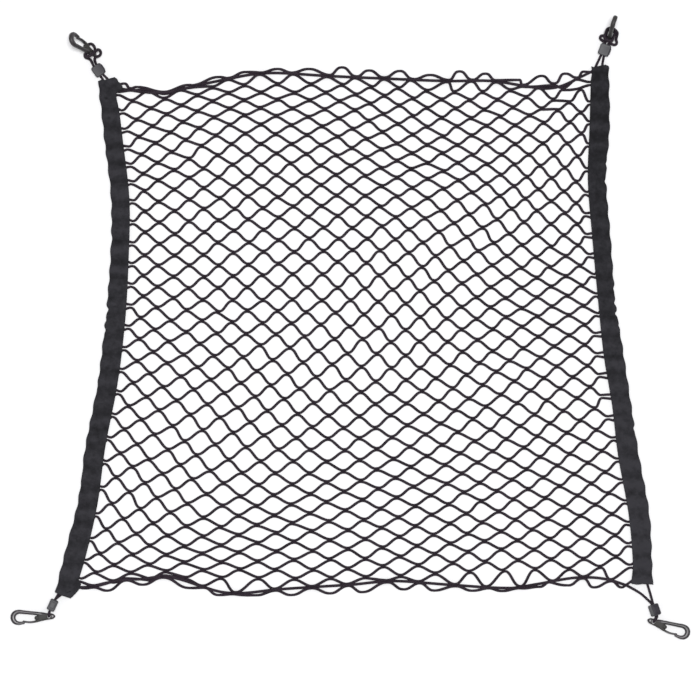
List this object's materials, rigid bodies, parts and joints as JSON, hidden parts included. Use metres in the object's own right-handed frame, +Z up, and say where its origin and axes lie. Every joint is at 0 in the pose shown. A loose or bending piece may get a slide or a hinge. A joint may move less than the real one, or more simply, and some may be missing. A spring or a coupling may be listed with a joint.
{
  "type": "elastic cargo net",
  "caption": "Square elastic cargo net of diamond mesh with gathered cloth sleeves at the sides, a draw cord round the edge, cord locks and a plastic snap hook at each corner.",
  "frame": {"origin": "on the surface the net lies on, under the middle of its outline with hooks", "axes": "+Z up out of the net's face, +Y towards its top edge, +X along its top edge to the right"},
  "size_m": [0.816, 0.7484, 0.0495],
  "materials": {
    "elastic_cord": "braided, dull",
    "sleeve_cloth": "woven, dull",
    "lock_plastic": "fine grain",
    "hook_plastic": "semi-matte moulding"
  },
  "bodies": {
    "root": {"net_panel": "elastic_cord", "cord_top": "elastic_cord", "cord_bottom": "elastic_cord", "sleeve_left": "sleeve_cloth", "sleeve_right": "sleeve_cloth", "cord_lock_top_left": "lock_plastic", "cord_lock_top_right": "lock_plastic", "cord_lock_bottom_left": "lock_plastic", "cord_lock_bottom_right": "lock_plastic", "hook_top_left": "hook_plastic", "hook_top_right": "hook_plastic", "hook_bottom_left": "hook_plastic", "hook_bottom_right": "hook_plastic"}
  },
  "joints": []
}
